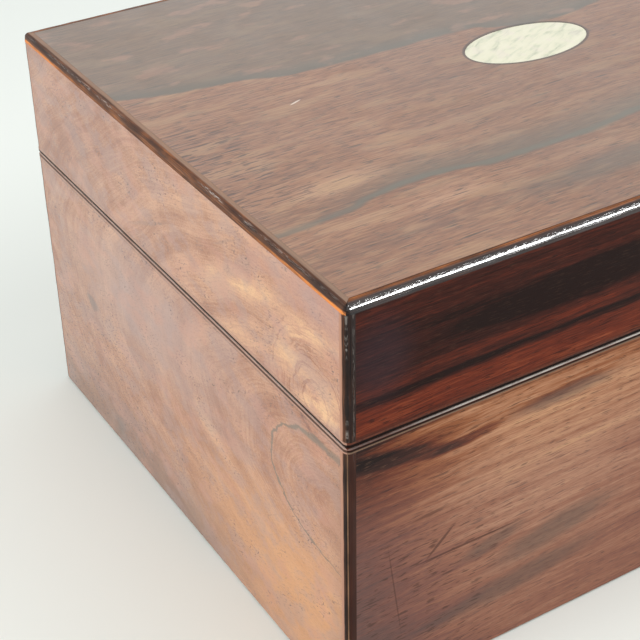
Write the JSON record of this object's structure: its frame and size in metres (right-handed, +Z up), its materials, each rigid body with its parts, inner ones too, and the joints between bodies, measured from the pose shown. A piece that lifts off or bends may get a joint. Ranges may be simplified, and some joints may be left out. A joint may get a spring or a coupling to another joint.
{
  "type": "writing slope",
  "caption": "Rectangular veneered box with a deep lid hinged at the back over a sloping leather writing flap, a paper well and a gallery for pens and ink.",
  "frame": {"origin": "middle of the underside, under the centre of the whole box with its hinge knuckles", "axes": "+X along the front to the right, +Y from the front to the hinged back, +Z up"},
  "size_m": [0.305, 0.2318, 0.161],
  "materials": {
    "rosewood_veneer": "french polished rosewood",
    "rosewood_edging": "french polished dark rosewood",
    "carcass_wood": "stained mahogany, low sheen",
    "bed_wood": "polished rosewood, softer than outside",
    "mother_of_pearl": "polished nacre",
    "brass": "aged, softly polished",
    "steel": "dull, darkened",
    "writing_leather": "dark green skiver with a worn sheen",
    "lining_cloth": "plum velvet",
    "underside_cloth": "green baize",
    "well_paper": "plain marbled lining paper",
    "ink_glass": "clear, slightly green"
  },
  "bodies": {
    "base": {"base_front_veneer": "rosewood_veneer", "base_back_veneer": "rosewood_veneer", "base_left_veneer": "rosewood_veneer", "base_right_veneer": "rosewood_veneer", "base_corner_edgings": "rosewood_edging", "base_rims": "rosewood_edging", "base_front_wall": "carcass_wood", "base_back_wall": "carcass_wood", "base_left_wall": "carcass_wood", "base_right_wall": "carcass_wood", "base_bottom_board": "carcass_wood", "left_cheek": "bed_wood", "right_cheek": "bed_wood", "front_bearer": "bed_wood", "gallery_floor": "bed_wood", "gallery_front_rail": "bed_wood", "gallery_back_rail": "bed_wood", "gallery_dividers": "bed_wood", "pen_tray": "bed_wood", "keyhole_plate": "mother_of_pearl", "base_hinge_leaves": "brass", "lock_case": "brass", "lock_cover": "brass", "rail_hinge_leaves": "brass", "left_ink_cap": "brass", "right_ink_cap": "brass", "base_hinge_screws": "brass", "lock_screws": "brass", "rail_hinge_screws": "brass", "lid_hinge_pins": "steel", "flap_hinge_pins": "steel", "underside_baize": "underside_cloth", "well_paper": "well_paper", "left_ink_bottle": "ink_glass", "right_ink_bottle": "ink_glass"},
    "lid": {"lid_front_veneer": "rosewood_veneer", "lid_back_veneer": "rosewood_veneer", "lid_left_veneer": "rosewood_veneer", "lid_right_veneer": "rosewood_veneer", "lid_top_veneer": "rosewood_veneer", "lid_corner_edgings": "rosewood_edging", "lid_top_edgings": "rosewood_edging", "lid_rims": "rosewood_edging", "lid_front_wall": "carcass_wood", "lid_back_wall": "carcass_wood", "lid_left_wall": "carcass_wood", "lid_right_wall": "carcass_wood", "lid_top_board": "carcass_wood", "lid_hinge_leaves": "brass", "lid_hinge_screws": "brass", "lid_lining": "lining_cloth", "oval_inlay": "mother_of_pearl", "link_plate": "brass", "link_plate_screws": "brass"},
    "writing_flap": {"flap_board": "bed_wood", "leather_panel": "writing_leather", "flap_knob": "brass", "flap_hinge_leaves": "brass", "flap_hinge_screws": "brass"},
    "lock_bolt": {"lock_bolt": "steel"}
  },
  "joints": [
    {"name": "lid_hinge", "type": "hinge", "parent": "base", "child": "lid", "pos_m": [0, 0.1135, 0.1105], "axis": [-1, 0, 0], "range_deg": [0, 100]},
    {"name": "flap_hinge", "type": "hinge", "parent": "base", "child": "writing_flap", "pos_m": [0, 0.05865, 0.13691], "axis": [-1, 0, 0], "range_deg": [0, 75]},
    {"name": "bolt_slide", "type": "slide", "parent": "base", "child": "lock_bolt", "axis": [1, 0, 0], "range_m": [0, 0.005]}
  ],
  "couplings": [
    {"joint": "flap_hinge", "follows": "lid_hinge", "ratio": 0.75}
  ]
}
